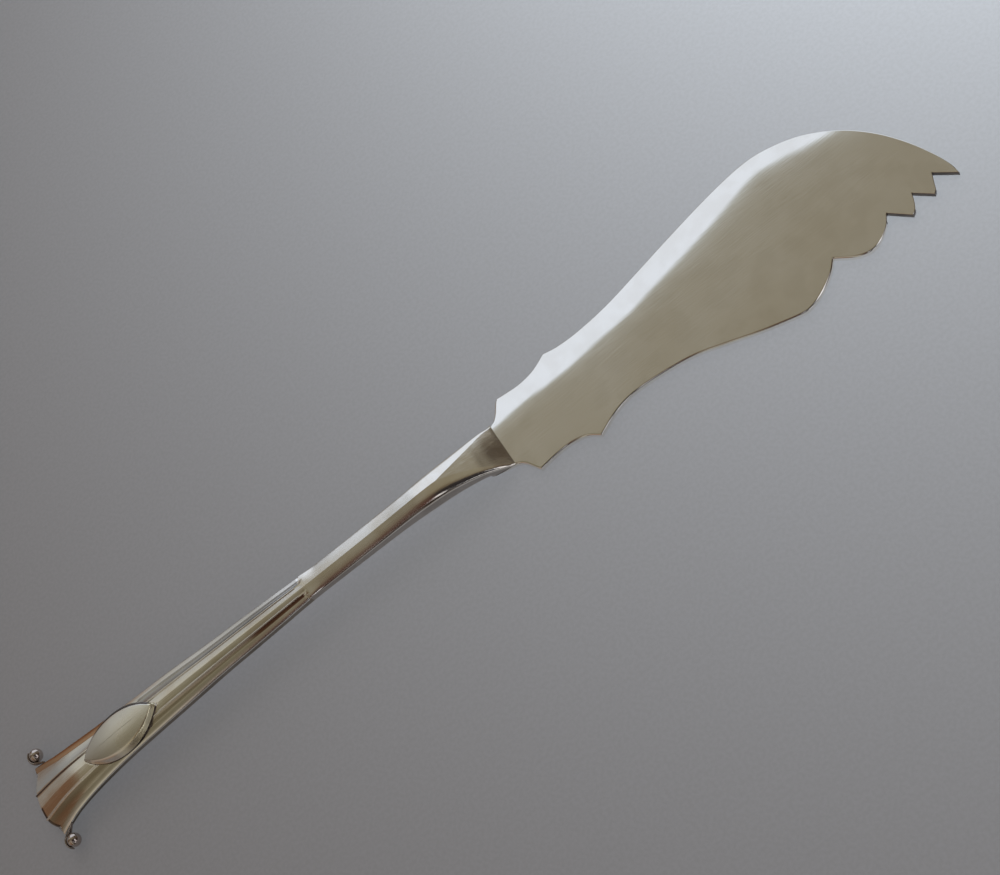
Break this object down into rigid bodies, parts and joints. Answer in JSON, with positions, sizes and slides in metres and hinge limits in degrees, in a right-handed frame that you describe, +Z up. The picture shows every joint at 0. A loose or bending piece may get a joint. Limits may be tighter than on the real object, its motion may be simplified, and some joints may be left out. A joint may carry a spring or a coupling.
{
  "type": "butter knife",
  "caption": "Silver butter knife with a scalloped, notched spreading blade and an arched, reeded handle ending in a fan with curled corners and beads.",
  "frame": {"origin": "on the knife's long axis, on the blade's flat underside, level with the first pair of points on the blade's shoulders", "axes": "+X along the long axis to the blade's tip, +Y across to the blade's spine side, +Z up from the table that the knife lies on"},
  "size_m": [0.1725, 0.0271, 0.0061],
  "materials": {
    "silver_blade": "polished silver with fine wear scratches",
    "silver_handle": "polished silver, lightly tarnished in the hollows",
    "silver_trim": "polished silver"
  },
  "bodies": {
    "root": {"blade": "silver_blade", "handle": "silver_handle", "left_edge_reed": "silver_trim", "right_edge_reed": "silver_trim", "left_inner_reed": "silver_trim", "right_inner_reed": "silver_trim", "cartouche": "silver_trim", "left_bead": "silver_trim", "right_bead": "silver_trim"}
  },
  "joints": []
}
